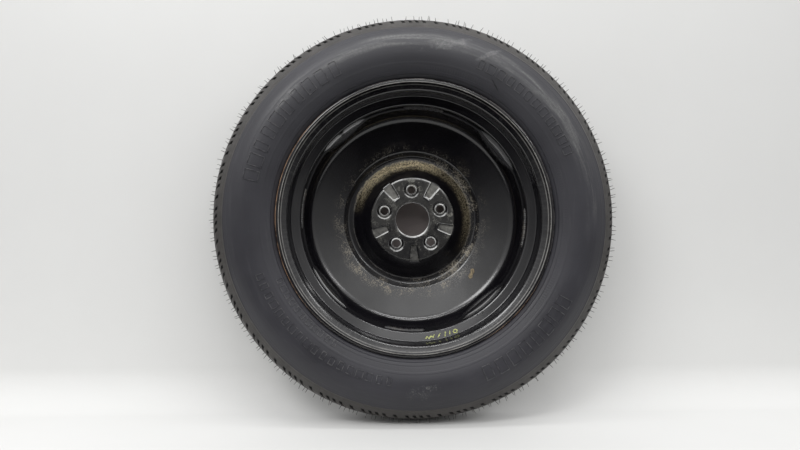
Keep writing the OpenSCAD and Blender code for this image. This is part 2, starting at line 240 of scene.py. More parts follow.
def put(tree, kind, inputs=None, **settings):
    """Adds a node to a tree. An input is set to a value, or joined to the socket it is given."""
    node = tree.nodes.new(kind)
    for key, value in settings.items():
        setattr(node, key, value)
    for key, value in (inputs or {}).items():
        if isinstance(value, bpy.types.NodeSocket):
            tree.links.new(value, node.inputs[key])
        else:
            node.inputs[key].default_value = value
    return node


def tree_of(values):
    """The tree of the first socket among the values."""
    return next(value.id_data for value in values if isinstance(value, bpy.types.NodeSocket))


def maths(operation, *values):
    return put(tree_of(values), "ShaderNodeMath", dict(enumerate(values)), operation=operation).outputs[0]


def vector_maths(operation, *values):
    return put(tree_of(values), "ShaderNodeVectorMath", dict(enumerate(values)), operation=operation).outputs


def scaled(vector, size):
    return put(size.id_data, "ShaderNodeVectorMath", {0: vector, "Scale": size}, operation="SCALE").outputs[0]


def folded(operation):
    """A function that takes any number of values and joins them by the operation, from the left."""
    def fold(first, *others):
        for other in others:
            first = maths(operation, first, other)
        return first
    return fold


product, total, minus, most = [folded(name) for name in ("MULTIPLY", "ADD", "SUBTRACT", "MAXIMUM")]


def blend_colours(share, first, second):
    """A mix of two colours. Each is a socket or its red, green and blue."""
    first, second = [(*colour, 1) if isinstance(colour, tuple) else colour for colour in (first, second)]
    return put(share.id_data, "ShaderNodeMix", {0: share, 6: first, 7: second}, data_type="RGBA").outputs[2]


def faded(value, low, high, to_low=0.0, to_high=1.0, kind="LINEAR"):
    """value from low to high, as a share from to_low to to_high that goes no further."""
    return put(value.id_data, "ShaderNodeMapRange", {0: value, 1: low, 2: high, 3: to_low, 4: to_high},
               interpolation_type=kind).outputs[0]


def rise(value, low, high, to_low=0.0, to_high=1.0):
    """What faded gives, with a soft start and end."""
    return faded(value, low, high, to_low, to_high, "SMOOTHSTEP")


def between(value, low, high, edge):
    """1 where value lies between low and high, with edges as soft as edge says."""
    return product(rise(value, low - edge, low + edge), rise(value, high - edge, high + edge, 1.0, 0.0))


def clamped(value):
    return put(value.id_data, "ShaderNodeClamp", {0: value}).outputs[0]


def noise(place, scale, detail=4.0, roughness=0.6):
    return put(place.id_data, "ShaderNodeTexNoise",
               {"Vector": place, "Scale": scale, "Detail": detail, "Roughness": roughness}).outputs[0]


def stepped(value, levels):
    """A grey ramp through the levels, each a position and a height."""
    ramp = put(value.id_data, "ShaderNodeValToRGB", {0: value})
    ramp.color_ramp.interpolation = "EASE"
    stops = ramp.color_ramp.elements
    for stop, (position, height) in zip(stops, (levels[0], levels[-1])):
        stop.position, stop.color = position, (height, height, height, 1)
    for position, height in levels[1:-1]:
        stops.new(position).color = (height, height, height, 1)
    return ramp.outputs[0]


def rolled_out(distance, angle, out_scale, round_scale):
    """A place for a pattern: its second number goes out from the axle, and the others go round it."""
    return put(angle.id_data, "ShaderNodeCombineXYZ", {
        0: product(maths("COSINE", angle), round_scale), 1: product(distance, out_scale),
        2: product(maths("SINE", angle), round_scale)}).outputs[0]


def join(source, target):
    source.id_data.links.new(source, target)


def new_group(name, inputs, outputs):
    """A shader group: a name and a default for each input, and a name for each output, which is a number."""
    tree = bpy.data.node_groups.new(name, "ShaderNodeTree")
    for label, value in inputs.items():
        kind = "NodeSocketVector" if isinstance(value, tuple) else "NodeSocketFloat"
        tree.interface.new_socket(label, in_out="INPUT", socket_type=kind).default_value = value
    for label in outputs:
        tree.interface.new_socket(label, in_out="OUTPUT", socket_type="NodeSocketFloat")
    return tree, tree.nodes.new("NodeGroupInput").outputs, tree.nodes.new("NodeGroupOutput").inputs


def use_group(group, inputs):
    return put(tree_of(inputs.values()), "ShaderNodeGroup", inputs, node_tree=group).outputs


# Distance from the axle and angle round it, which every mark that lies in a ring goes by
nowhere = (0.0, 0.0, 0.0)
axle_group, enter, leave = new_group("Around the axle", {"Place": nowhere}, ["Distance", "Angle", "Across"])
apart = put(axle_group, "ShaderNodeSeparateXYZ", {0: enter["Place"]}).outputs
join(maths("SQRT", total(product(apart[0], apart[0]), product(apart[2], apart[2]))), leave["Distance"])
join(maths("ARCTAN2", apart[2], apart[0]), leave["Angle"])
join(apart[1], leave["Across"])

# Dust that lies in specks and thin clouds, thicker where the cover is higher
dust_group, enter, leave = new_group(
    "Settled dust", {"Place": nowhere, "Cover": 0.5, "Speck size": 0.002}, ["Mask"])
fineness = maths("DIVIDE", 1.0, enter["Speck size"])
specks = noise(enter["Place"], fineness, 4.0, 0.7)
clouds = noise(enter["Place"], product(fineness, 0.09), 5.0, 0.6)
heap = total(product(specks, 0.55), product(clouds, 0.45))
level = minus(0.86, product(enter["Cover"], 0.6))
join(clamped(product(minus(heap, level), 7.0)), leave["Mask"])

# Streaks that run round the axle
ring_streak_group, enter, leave = new_group(
    "Streaks round the axle", {"Distance": 0.0, "Angle": 0.0, "Fineness": 60.0}, ["Height"])
way_round = rolled_out(enter["Distance"], enter["Angle"], enter["Fineness"], 1.6)
join(noise(way_round, 2.4, 5.0, 0.65), leave["Height"])

# A ragged stain round one place
stain_group, enter, leave = new_group("Stain at a place", {
    "Place": nowhere, "Middle": nowhere, "Stretch": (1.0, 1.0, 1.0), "Turn": nowhere, "Size": 0.02,
    "Raggedness": 0.5}, ["Mask"])
away = vector_maths("SUBTRACT", enter["Place"], enter["Middle"])[0]
away = put(stain_group, "ShaderNodeVectorRotate", {"Vector": away, "Rotation": enter["Turn"]},
           rotation_type="EULER_XYZ").outputs[0]
reach = vector_maths("LENGTH", vector_maths("MULTIPLY", away, enter["Stretch"])[0])["Value"]
ragged = noise(enter["Place"], maths("DIVIDE", 2.2, enter["Size"]), 5.0, 0.65)
edge = total(1.0, product(minus(ragged, 0.5), product(enter["Raggedness"], 3.0)))
join(clamped(product(minus(edge, maths("DIVIDE", reach, enter["Size"])), 2.2)), leave["Mask"])


def dust(place, cover, speck_size):
    return use_group(dust_group, {"Place": place, "Cover": cover, "Speck size": speck_size})["Mask"]


def ring_streaks(distance, angle, fineness):
    inputs = {"Distance": distance, "Angle": angle, "Fineness": fineness}
    return use_group(ring_streak_group, inputs)["Height"]


def stain(place, middle_mm, size_mm, stretch=(1, 1, 1), turn=0.0, ragged=0.5):
    return use_group(stain_group, {
        "Place": place, "Middle": tuple(c / 1000 for c in middle_mm), "Size": size_mm / 1000,
        "Stretch": stretch, "Turn": (0.0, math.radians(turn), 0.0), "Raggedness": ragged})["Mask"]


def seen_towards(angle, middle, half_width, soft):
    """1 within half_width of a direction round the axle, in degrees."""
    off = maths("ARCCOSINE", maths("COSINE", minus(angle, math.radians(middle))))
    return minus(1.0, rise(off, math.radians(half_width - soft), math.radians(half_width + soft)))


class Coat:
    """A material in the making, with the object's own coordinates, and its colour and roughness so far."""

    def __init__(self, name):
        self.material = bpy.data.materials.new(name)
        self.material.use_nodes = True
        self.tree = self.material.node_tree
        self.tree.nodes.clear()
        self.shader = self.tree.nodes.new("ShaderNodeBsdfPrincipled")
        self.surface = self.tree.nodes.new("ShaderNodeOutputMaterial").inputs["Surface"]
        join(self.shader.outputs[0], self.surface)
        self.place = self.tree.nodes.new("ShaderNodeTexCoord").outputs["Object"]
        self.normal = None

    def round_axle(self):
        """Distance from the axle, angle round it and place along it."""
        return tuple(use_group(axle_group, {"Place": self.place}))

    def mark(self, name):
        """The values that the mesh holds by this name."""
        return put(self.tree, "ShaderNodeAttribute", attribute_name=name).outputs["Fac"]

    def tint(self, mask, colour, rougher=0.0):
        self.colour = blend_colours(mask, self.colour, colour)
        if rougher:
            self.rough = total(self.rough, product(mask, rougher))

    def cover(self, mask, colour, rough):
        """Something dull lies over what is there."""
        self.tint(mask, colour)
        self.rough = total(self.rough, product(mask, minus(rough, self.rough)))

    def bump(self, height, strength, depth):
        """A bump over the one before it."""
        inputs = {"Height": height, "Strength": strength, "Distance": depth}
        if self.normal is not None:
            inputs["Normal"] = self.normal
        self.normal = put(self.tree, "ShaderNodeBump", inputs).outputs[0]
        join(self.normal, self.shader.inputs["Normal"])

    def done(self):
        join(self.colour, self.shader.inputs["Base Color"])
        join(self.rough, self.shader.inputs["Roughness"])
        return self.material


def rubber():
    coat = Coat("tyre rubber")
    place = coat.place
    distance, angle, _ = coat.round_axle()
    clouds = noise(place, 9.0, 5.0)
    coat.colour = blend_colours(faded(clouds, 0.3, 0.72), (0.0155, 0.015, 0.0198), (0.0275, 0.027, 0.0342))
    # The tread and its buttress are browner, where mould wax stays
    wax = faded(noise(place, 30.0, 4.0), 0.3, 0.7)
    coat.tint(product(rise(distance, 0.3378, 0.3402), 0.85),
              blend_colours(wax, (0.030, 0.027, 0.024), (0.055, 0.050, 0.045)))
    # Dust smeared along the wall where hands and boots have rubbed it; the smear is kept to the upper wall,
    # where it is also painted light that makes the top read lighter
    streaks = ring_streaks(distance, angle, 55.0)
    grit = faded(noise(place, 260.0, 4.0, 0.75), 0.42, 0.62)
    band = between(distance, 0.300, 0.322, 0.007)
    upper = seen_towards(angle, 72, 60, 28)
    dust_smear_and_top_light = product(faded(streaks, 0.44, 0.68), band, upper, faded(grit, 0.0, 1.0, 0.45, 1.0))
    coat.tint(product(dust_smear_and_top_light, 0.8), (0.20, 0.20, 0.19))
    # Painted light: a pale haze on the upper inner wall stands in for light thrown up from the floor below
    painted_light_from_below = product(between(distance, 0.262, 0.318, 0.012), seen_towards(angle, 88, 62, 40), 0.42)
    coat.tint(painted_light_from_below, (0.085, 0.085, 0.092))
    coat.tint(product(faded(streaks, 0.55, 0.8), 0.16), (0.11, 0.11, 0.115))
    # Two scuffs at the upper left, one at the bottom and two at the top, and specks of dried mud
    for scuff in (((-222, -82, 211), 30, (1, 1, 5), 44, 0.8), ((-240, -82, 190), 14, (1, 1, 4), 50, 0.8),
                  ((-84, -80, -246), 8, (1, 1, 8), -40, 0.6), ((60, -82, 304), 44, (1, 1, 5), 12, 1.0),
                  ((128, -82, 286), 30, (1, 1, 6), 24, 1.0)):
        coat.tint(product(stain(place, *scuff), faded(grit, 0.0, 1.0, 0.3, 1.0), 0.42), (0.22, 0.22, 0.22))
    low = product(between(distance, 0.291, 0.316, 0.006), seen_towards(angle, 272, 7, 5))
    coat.tint(product(dust(place, 0.50, 0.0022), low, 0.8), (0.20, 0.20, 0.19))
    coat.tint(product(dust(place, 0.335, 0.0017), rise(distance, 0.262, 0.27), 0.7), (0.20, 0.20, 0.20))
    # Pits where the mould's vents closed, and the short line of its splice
    for x, z in ((-185, 221), (-138, 228), (89, 247), (187, 184), (221, 217), (-152, 233)):
        coat.tint(stain(place, (x, -80, z), 2.2, ragged=0.1), (0.004, 0.004, 0.004))
    splice = stain(place, (140, -78, 233), 16, (11, 1, 1), 31, 0.15)
    coat.tint(product(splice, 0.8), (0.008, 0.008, 0.008))
    # The raised bars are scraped pale in places
    scraped = faded(noise(place, 110.0, 4.0, 0.7), 0.42, 0.68)
    coat.tint(product(coat.mark("raised"), scraped, 0.55), (0.16, 0.16, 0.16))
    # The slots' floors are darkened to near black: painted shade in the narrow cuts, over the fresh rubber's
    # own darker black
    slot_painted_shade = rise(coat.mark("cut"), 0.05, 0.5)
    coat.tint(slot_painted_shade, (0.003, 0.003, 0.003))
    coat.rough = total(faded(clouds, 0.3, 0.7, 0.44, 0.56), product(slot_painted_shade, 0.4))
    # Fine moulded rings: steps near the bead, fences round the bare band, a ridge under the buttress
    rings = stepped(faded(distance, 0.25, 0.35), [
        (0.0, 0.0), (0.045, 0.0), (0.06, 0.5), (0.10, 0.5), (0.115, 0.25), (0.20, 0.25), (0.215, 0.42),
        (0.235, 0.42), (0.25, 0.25), (0.62, 0.25), (0.628, 0.42), (0.636, 0.25), (0.80, 0.25), (0.808, 0.42),
        (0.816, 0.25), (0.87, 0.25), (0.89, 0.9), (0.91, 0.3), (1.0, 0.3)])
    ticks = product(maths("SINE", product(angle, 360.0)), between(distance, 0.262, 0.268, 0.0005),
                    seen_towards(angle, 25, 60, 3), 0.04)
    lines = product(maths("SINE", product(distance, 2900.0)), between(distance, 0.3440, 0.3525, 0.0008), 0.14)
    coat.bump(total(rings, ticks, lines), 0.9, 0.0013)
    coat.bump(noise(place, 420.0, 3.0), 0.22, 0.0006)
    return coat.done()


tyre_material = rubber()
tyre.data.materials.append(tyre_material)


# Moulded bars
# Rows of plain hollow bars where a tyre carries its markings, moulded in one with both sidewalls.
# A row is its first and last angle, its middle's distance from the axle, half a bar's height and the pitch.
bar_rows = [(119, 167, 295, 13.5, 5.2), (295, 335, 297, 13.5, 5.0), (24, 70, 291, 8.5, 3.9),
            (201, 261, 288, 7.5, 3.5), (205, 239, 262, 5.5, 3.2)]
bar_line_w, bar_lift = 1.8, 0.9


def wall_at(r):
    """How far from the middle plane the outer sidewall lies at distance r from the axle."""
    wall = sorted((row_r, row_y) for row_r, row_y in side_rows() if row_r > flange_r + 5 and row_y > flange_y)
    return np.interp(r, [row_r for row_r, _ in wall], [row_y for _, row_y in wall])


def hollow_bars():
    """Points and faces of the bars. Each is four rings of points, up its outside and down its inside."""
    spread = np.random.default_rng(11)
    points, faces = [], []
    along = np.linspace(-1, 1, 6)[:-1]
    sunk, bevel = -0.4, 0.4
    rings = ((0, sunk), (bevel, bar_lift), (bar_line_w - bevel, bar_lift), (bar_line_w, sunk))
    for first, last, radius, half_height, pitch in bar_rows:
        for a in np.arange(first, last, pitch):
            half = radius * math.radians(pitch) * spread.uniform(0.26, 0.42)
            for side in (-1, 1):
                faces += (ring_faces(4, 4 * len(along), True) + len(points)).tolist()
                for inset, lift in rings:
                    w, h = half - inset, half_height - inset
                    turn = np.concatenate([along * w, along * 0 + w, -along * w, along * 0 - w]) / radius
                    r = radius + np.concatenate([along * 0 - h, along * h, along * 0 + h, -along * h])
                    points += round_points(r, math.radians(a) + turn, side * (wall_at(r) + lift)).tolist()
    return points, faces


points, faces = hollow_bars()
bars = new_piece("moulded_bars", points, faces, marks={"raised": np.ones(len(points))})
bars.data.materials.append(tyre_material)


# Vent spews
# Thin hairs of rubber that flowed into the mould's vents. They stand on both shoulders
# in one moulding with the tyre, and most are still whole because the tyre is unused.
def new_maker(name, **inputs):
    """Geometry nodes with an input of each kind named, which also take a geometry and a material."""
    tree = bpy.data.node_groups.new(name, "GeometryNodeTree")
    for label, kind in {"Geometry": "Geometry", **inputs, "Material": "Material"}.items():
        tree.interface.new_socket(label, in_out="INPUT", socket_type="NodeSocket" + kind)
    tree.interface.new_socket("Geometry", in_out="OUTPUT", socket_type="NodeSocketGeometry")
    return tree, tree.nodes.new("NodeGroupInput").outputs


def made_real(instances, material):
    """Ends the nodes, with the instances as one mesh of the material."""
    tree = instances.id_data
    real = put(tree, "GeometryNodeRealizeInstances", {0: instances}).outputs[0]
    finished = put(tree, "GeometryNodeSetMaterial", {"Geometry": real, "Material": material}).outputs[0]
    join(finished, tree.nodes.new("NodeGroupOutput").inputs[0])
    return tree


def hair_tree():
    """Geometry nodes that plant a thin tapered hair on each face, leaning a little its own way."""
    tree, enter = new_maker("Vent spews", Length="Float", Thickness="Float", Scatter="Float")
    hair = put(tree, "GeometryNodeMeshCone", {
        "Vertices": 5, "Side Segments": 2, "Radius Top": product(enter["Thickness"], 0.55),
        "Radius Bottom": enter["Thickness"], "Depth": enter["Length"]})
    kept = tree.nodes.new("GeometryNodeCaptureAttribute")
    kept.domain = "FACE"
    kept.capture_items.new("VECTOR", "Way")
    join(enter["Geometry"], kept.inputs["Geometry"])
    join(put(tree, "GeometryNodeInputNormal").outputs[0], kept.inputs["Way"])
    stray = put(tree, "FunctionNodeRandomValue", {0: (-1.0, -1.0, -1.0), 1: (1.0, 1.0, 1.0), "Seed": 3},
                data_type="FLOAT_VECTOR").outputs[0]
    stray = scaled(stray, enter["Scatter"])
    way = vector_maths("ADD", kept.outputs["Way"], stray)[0]
    turn = put(tree, "FunctionNodeAlignEulerToVector", {"Vector": way}, axis="Z").outputs[0]
    size = put(tree, "FunctionNodeRandomValue", {2: 0.7, 3: 1.1, "Seed": 8}, data_type="FLOAT").outputs[1]
    tall = put(tree, "ShaderNodeCombineXYZ", {0: 1.0, 1: 1.0, 2: size}).outputs[0]
    roots = put(tree, "GeometryNodeMeshToPoints", {"Mesh": kept.outputs["Geometry"]}, mode="FACES")
    planted = put(tree, "GeometryNodeInstanceOnPoints", {
        "Points": roots.outputs[0], "Instance": hair.outputs[0], "Rotation": turn, "Scale": tall})
    return made_real(planted.outputs[0], enter["Material"])


def spew_flaps():
    """A tiny flap at each hair's root, which carries the way that the hair stands."""
    spread = np.random.default_rng(5)
    corners, flaps = [], []
    roots = ((0.04, 48), (0.11, 43), (0.24, 49), (0.31, 43), (0.44, 48), (0.51, 44), (0.64, 49), (0.71, 42),
             (0.84, 48), (0.91, 44))
    for side, turn, (phase, y) in itertools.product((-1, 1), range(pitches), roots):
        if spread.random() < 0.1:
            continue
        a = math.radians((turn + phase + spread.normal(0, 0.012)) * 360 / pitches) * -side
        y = y + spread.normal(0, 1.2)
        out = Vector((math.cos(a), 0, math.sin(a)))
        root = out * (crown_at(y) - 0.3) + Vector((0, side * y, 0))
        way = (out + Vector((0, side * 0.12, 0))).normalized()
        across = way.orthogonal() * 0.1
        other = way.cross(across)
        corners += [root + across, root + other, root - across - other]
        flaps.append((len(corners) - 3, len(corners) - 2, len(corners) - 1))
    mesh = bpy.data.meshes.new("spew roots")
    mesh.from_pydata([c / 1000 for c in corners], [], flaps)
    return linked("spew roots", mesh)


def evaluated(piece):
    """A new mesh of what the piece's modifiers make of it."""
    bpy.context.view_layer.update()
    return bpy.data.meshes.new_from_object(piece.evaluated_get(bpy.context.evaluated_depsgraph_get()))


def grown(name, tree, holder, settings, body="wheel"):
    """What the tree's nodes make of holder, as a plain mesh object at the origin that rides on body."""
    modifier = holder.modifiers.new("nodes", "NODES")
    modifier.node_group = tree
    for item in tree.interface.items_tree:
        if item.in_out == "INPUT" and item.name in settings:
            modifier[item.identifier] = settings[item.name]
    mesh = evaluated(holder)
    bpy.data.objects.remove(holder)
    mesh.name = name
    piece = linked(name, mesh)
    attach(piece, body)
    return piece


spews = grown("vent_spews", hair_tree(), spew_flaps(),
              {"Length": 0.0084, "Thickness": 0.0006, "Scatter": 0.3, "Material": tyre_material})


# Rim
# One strip of sheet steel, rolled to a ring and welded, with a curled flange on each edge,
# two bead seats and a well, dipped in gloss black paint.
rim_t = 2.6
well_r = 211.6
well_in_y, well_out_y, well_rise, bend_r = -18.5, 13.5, 6.0, 3.5
lip_r = flange_r - curl_r - 1.5
seat_in_r = seat_r - seat_fall * (rim_y + well_in_y - well_rise)
seat_out_r = seat_r - seat_fall * (rim_y - well_out_y - well_rise)


def beside(path, d):
    """The path moved by d to its left."""
    step = np.diff(path, axis=0)
    step /= np.linalg.norm(step, axis=1)[:, None]
    left = np.stack([-step[:, 1], step[:, 0]], -1)
    before, after = np.vstack([left[:1], left]), np.vstack([left, left[-1:]])
    return path + d * (before + after) / (1 + (before * after).sum(1))[:, None]


def spun(section, columns):
    """Points and faces of a closed section turned about the axle."""
    a = np.arange(columns) * 2 * math.pi / columns
    points = np.concatenate([round_points(r, a, y) for r, y in section])
    return points, ring_faces(len(section), columns, True)


# On the side of the welds the flange leans in to its bead's seat. The outside is square
rim_path = rounded([
    (lip_r, -flange_y),
    (flange_r, -flange_y, 4.0),
    (flange_r, -56.6, 2.0),
    (242.0, -54.2, 3.0),
    (seat_r, -48.8, heel_r),
    (seat_in_r, well_in_y - well_rise, bend_r + rim_t),
    (well_r, well_in_y, bend_r),
    (well_r, well_out_y, bend_r),
    (seat_out_r, well_out_y + well_rise, bend_r + rim_t),
    (seat_r, rim_y, heel_r),
    (flange_r, rim_y, curl_r),
    (flange_r, flange_y, curl_r),
    (lip_r, flange_y)], 8)
rim = new_piece("rim_ring", *spun(np.vstack([rim_path, beside(rim_path, rim_t)[::-1]]), 384), sharp=40)
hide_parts("rim")


def black_paint(name, gloss):
    """Gloss black paint over sheet steel."""
    coat = Coat(name)
    clouds = noise(coat.place, 14.0, 5.0)
    coat.colour = blend_colours(faded(clouds, 0.3, 0.7), (0.0016, 0.0013, 0.0026), (0.0034, 0.0030, 0.0046))
    coat.rough = faded(clouds, 0.3, 0.7, gloss - 0.03, gloss + 0.05)
    coat.bump(noise(coat.place, 110.0, 2.0), 0.10, 0.0005)
    coat.shader.inputs["Specular IOR Level"].default_value = 0.75
    return coat


def rim_paint():
    coat = black_paint("rim paint", 0.12)
    place = coat.place
    distance, angle, across = coat.round_axle()
    out_by = maths("ABSOLUTE", across)
    # A little dull dust in the low corners of the ring, and dried water marks that run round it
    low = total(0.20, product(maths("SINE", angle), -0.3))
    corner = most(between(distance, 0.204, 0.212, 0.003), between(distance, 0.2315, 0.2355, 0.0015))
    coat.cover(product(dust(place, 0.42, 0.0026), low, corner), (0.12, 0.115, 0.10), 0.65)
    streaks = faded(ring_streaks(distance, angle, 160.0), 0.5, 0.72)
    coat.cover(product(streaks, between(distance, 0.200, 0.2455, 0.003), 0.10), (0.10, 0.10, 0.095), 0.5)
    # Faint marks of the rolls across the flange
    rolled = faded(noise(rolled_out(distance, angle, 30.0, 60.0), 1.6, 2.0), 0.45, 0.65)
    coat.cover(product(rolled, between(distance, 0.229, 0.241, 0.001), 0.12), (0.14, 0.14, 0.135), 0.4)
    # Painted highlights: pale lines on the curl and on the bend below it stand in for the glints on these
    # bends
    curl_glint = product(between(distance, 0.2416, 0.2430, 0.0004), rise(out_by, 0.060, 0.0605), 0.75)
    bend_glint = product(between(distance, 0.2386, 0.2400, 0.0004), 0.45)
    lines = product(most(curl_glint, bend_glint), faded(noise(place, 30.0, 5.0, 0.7), 0.3, 0.55, 0.3, 1.0))
    coat.cover(lines, (0.36, 0.35, 0.33), 0.35)
    # The flange's edge has lost its paint here and there, and has rusted; the pale part of the line,
    # strongest at the upper right, is painted highlight for the lip's glint
    edge = product(between(distance, 0.2474, 0.2486, 0.0006), rise(out_by, 0.052, 0.054))
    worn = faded(noise(place, 40.0, 5.0, 0.7), 0.34, 0.56)
    left = most(seen_towards(angle, 178, 44, 16), seen_towards(angle, 316, 14, 8))
    upper_right_glint = seen_towards(angle, 45, 62, 20)
    share = total(0.25, total(product(left, 0.75), product(upper_right_glint, 0.35)))
    rusty = blend_colours(left, (0.34, 0.32, 0.30), (0.46, 0.28, 0.17))
    coat.tint(product(edge, worn, share), rusty, rougher=0.4)
    # A blot and chips on the ledge
    for middle, size in (((126, -22, -174), 3.6), ((116, -22, -178), 2.0), ((-130, -60, 206), 3.0)):
        coat.cover(stain(place, middle, size, ragged=0.6), (0.002, 0.002, 0.002), 0.7)
    return coat.done()


rim.data.materials.append(rim_paint())


# Yellow marks
# Strokes of an inspector's paint pen on the ledge beside the well, brushed on after the
# paint had dried. They say nothing here.
def mark_ribbon(strokes, width):
    """Thin closed ribbons on the well's sloping side. A stroke's points are (degrees, distance)."""
    points, faces = [], []
    slope = well_rise / (seat_in_r - well_r)
    ledge_r, steps = 219, 6
    for stroke in strokes:
        bent = []
        for (a0, r0), (a1, r1) in zip(stroke, stroke[1:]):
            bent += [(a0 + (a1 - a0) * t / steps, r0 + (r1 - r0) * t / steps) for t in range(steps)]
        bent.append(stroke[-1])
        flat = np.array([(math.radians(a) * ledge_r, r) for a, r in bent])
        way = np.gradient(flat, axis=0)
        side = np.stack([-way[:, 1], way[:, 0]], -1) / np.linalg.norm(way, axis=1)[:, None]
        base = len(points)
        for i, (spot, off) in enumerate(zip(flat, side)):
            swell = width / 2 * (0.75 + 0.35 * math.sin(i * 1.3 + base))
            for sign, lift in ((-1, 0.02), (1, 0.02), (1, 0.16), (-1, 0.16)):
                arc, r = spot + off * swell * sign
                y = well_in_y - slope * (r - well_r) - rim_t * math.hypot(1, slope) - lift
                points.append((r * math.cos(arc / ledge_r), y, r * math.sin(arc / ledge_r)))
        faces += tube_faces(len(flat), 4, base)
    return points, faces


strokes = [
    [(275.2, 222.0), (276.0, 218.4), (277.0, 222.4), (277.8, 217.6), (278.8, 221.4), (279.6, 216.6)],
    [(281.0, 222.6), (282.6, 216.4)],
    [(284.4, 223.6), (285.2, 216.0)],
    [(286.8, 223.6), (287.4, 216.2)],
    [(289.0, 222.4), (290.4, 222.8), (290.9, 219.0), (289.8, 216.8), (288.8, 219.4), (289.0, 222.4)]]
marks = new_piece("yellow_marks", *mark_ribbon(strokes, 2.0), sharp=60)
coat = Coat("marking paint")
thin = faded(noise(coat.place, 420.0, 3.0), 0.3, 0.62)
coat.colour = blend_colours(thin, (0.24, 0.25, 0.06), (0.58, 0.62, 0.22))
coat.rough = faded(thin, 0.0, 1.0, 0.6, 0.45)
marks.data.materials.append(coat.done())


# Disc
# One blank of sheet steel, drawn to a bowl with a nose and a raised boss for the hub, with a ring
# trough and a nut seat round each bolt hole and a pocket between each two. Its flange is pressed
# into the rim's well.
disc_t = 4.0
disc_r = well_r - rim_t - fit
edge_y, fit_depth = -8.0, 20.0
hub_y, boss_h = 40.0, 30.0
nose_y = hub_y + boss_h
pad_r, bore_r = 79.0, 33.05
collar_l = 11.0
boss_slope = math.radians(40)
step_r = pad_r + 17 / math.tan(boss_slope)
bolt_circle_r, bolt_hole_r, bolt_angle = 57.15, 7.6, 20.3
flat_angle, flat_r = 39.5, disc_r - 6.6
pocket_depth, pocket_in_r, pocket_half_w, pocket_flare, pocket_corner_r = 3.5, 51.0, 6.6, 0.125, 5.0
trough_depth, trough_r, trough_wall, seat_rise = 4.6, 15.1, 2.6, 2.8
press_from, press_to = 38.5, 98
trough_reach, pocket_out_r = 21, 99

face_path = rounded([
    (disc_r - disc_t, edge_y),
    (disc_r - disc_t, edge_y + fit_depth, 30),
    (disc_r - disc_t - 4, edge_y + fit_depth + 25, 24),
    (136, nose_y - 9, 10),
    (126, nose_y, 7),
    (116, nose_y - 1, 7),
    (step_r, hub_y + 17, 12),
    (pad_r, hub_y, disc_t + 1),
    (bore_r, hub_y, disc_t + 0.6),
    (bore_r, hub_y + collar_l)], 6)


def spaced(path, gaps):
    """The path with more points, so that none is further from the next than its stretch allows.

    A stretch is (from radius, to radius, gap)."""
    out = [path[0]]
    for p in path[1:]:
        middle = (p[0] + out[-1][0]) / 2
        gap = next((g for low, high, g in gaps if low <= middle <= high), 1e9)
        count = max(1, math.ceil(np.linalg.norm(p - out[-1]) / gap))
        out += [out[-1] + (p - out[-1]) * k / count for k in range(1, count + 1)]
    return np.array(out)


def eased(t):
    t = np.clip(t, 0, 1)
    return t * t * (3 - 2 * t)


def trough(rho, behind):
    """Depth of the trough at distance rho from a bolt hole's middle. In front the nut's seat stands in it."""
    if behind:
        return trough_depth * eased((trough_r + 2.4 - rho) / trough_wall)
    wall = bolt_hole_r + 2.8
    seat = trough_depth - seat_rise + seat_rise * eased((rho - wall + 0.4) / 1.7)
    return np.where(rho < wall + 1.5, seat, trough_depth * eased((trough_r - rho) / trough_wall))


def pressed(x, z, base, behind):
    """Where the sheet's face lies along the axle at x, z, once troughs and pockets are pressed in."""
    level = hub_y + (disc_t if behind else 0)
    y = base.copy()
    r, a = np.hypot(x, z), np.degrees(np.arctan2(z, x))
    for k in range(5):
        hole_a = math.radians(bolt_angle + 72 * k)
        rho = np.hypot(x - bolt_circle_r * math.cos(hole_a), z - bolt_circle_r * math.sin(hole_a))
        y = np.maximum(y, np.where(rho < trough_reach, level + trough(rho, behind), -1e3))
        middle = bolt_angle + 36 + 72 * k
        off = np.abs((a - middle + 180) % 360 - 180) * math.pi / 180 * r
        half_width = pocket_half_w + pocket_flare * (r - pocket_in_r) + (2.5 if behind else 0)
        start = pocket_in_r - (4 if behind else 0.8)
        # The pocket's inner corners are round
        dx = np.maximum(off - (half_width - pocket_corner_r), 0)
        dr = np.maximum(start + pocket_corner_r - r, 0)
        depth = pocket_depth * eased((pocket_corner_r - np.hypot(dx, dr)) / 2.0)
        in_pocket = (r > start - 2) & (r < pocket_out_r) & (depth > 0)
        y = np.maximum(y, np.where(in_pocket, level + depth, -1e3))
    return y


def disc_grid(columns=480):
    a = np.arange(columns) * 2 * math.pi / columns
    front = spaced(face_path, [(34, 84, 1.05), (84, 100, 3.0)])
    back = spaced(beside(face_path, -disc_t), [(38, 84, 1.6), (84, 100, 3.0)])[::-1]
    points = []
    for section, behind in ((front, False), (back, True)):
        limit = flat_r - (0 if behind else disc_t)
        for r, y in section:
            # The blank's straight sides flatten the round flange at four places
            off = np.radians((np.degrees(a) - flat_angle + 45) % 90 - 45)
            radius = np.minimum(r, limit / np.cos(off))
            x, z = radius * np.cos(a), radius * np.sin(a)
            along = np.full(columns, y)
            if press_from < r < press_to:
                along = pressed(x, z, along, behind)
            points.append(np.stack([x, along, z], -1))
    return np.concatenate(points), ring_faces(len(front) + len(back), columns, True)


def bolt_bars():
    """A bar for each bolt hole, with a cone at its outer end for the nut's seat."""
    points, faces = [], []
    columns, mouth_w, cone_w = 56, 0.7, 4.6
    section = [(bolt_hole_r + mouth_w, 30), (bolt_hole_r + mouth_w, 41.4), (bolt_hole_r, 42.3),
               (bolt_hole_r, 43.3), (bolt_hole_r + cone_w, 51.3)]
    for k in range(5):
        a = math.radians(bolt_angle + 72 * k)
        middle_x, middle_z = bolt_circle_r * math.cos(a), bolt_circle_r * math.sin(a)
        base = len(points)
        for r, y in section:
            for t in np.arange(columns) * 2 * math.pi / columns:
                points.append((middle_x + r * math.cos(t), y, middle_z + r * math.sin(t)))
        faces += tube_faces(len(section), columns, base)
    return new_piece("bolt_bars", points, faces)


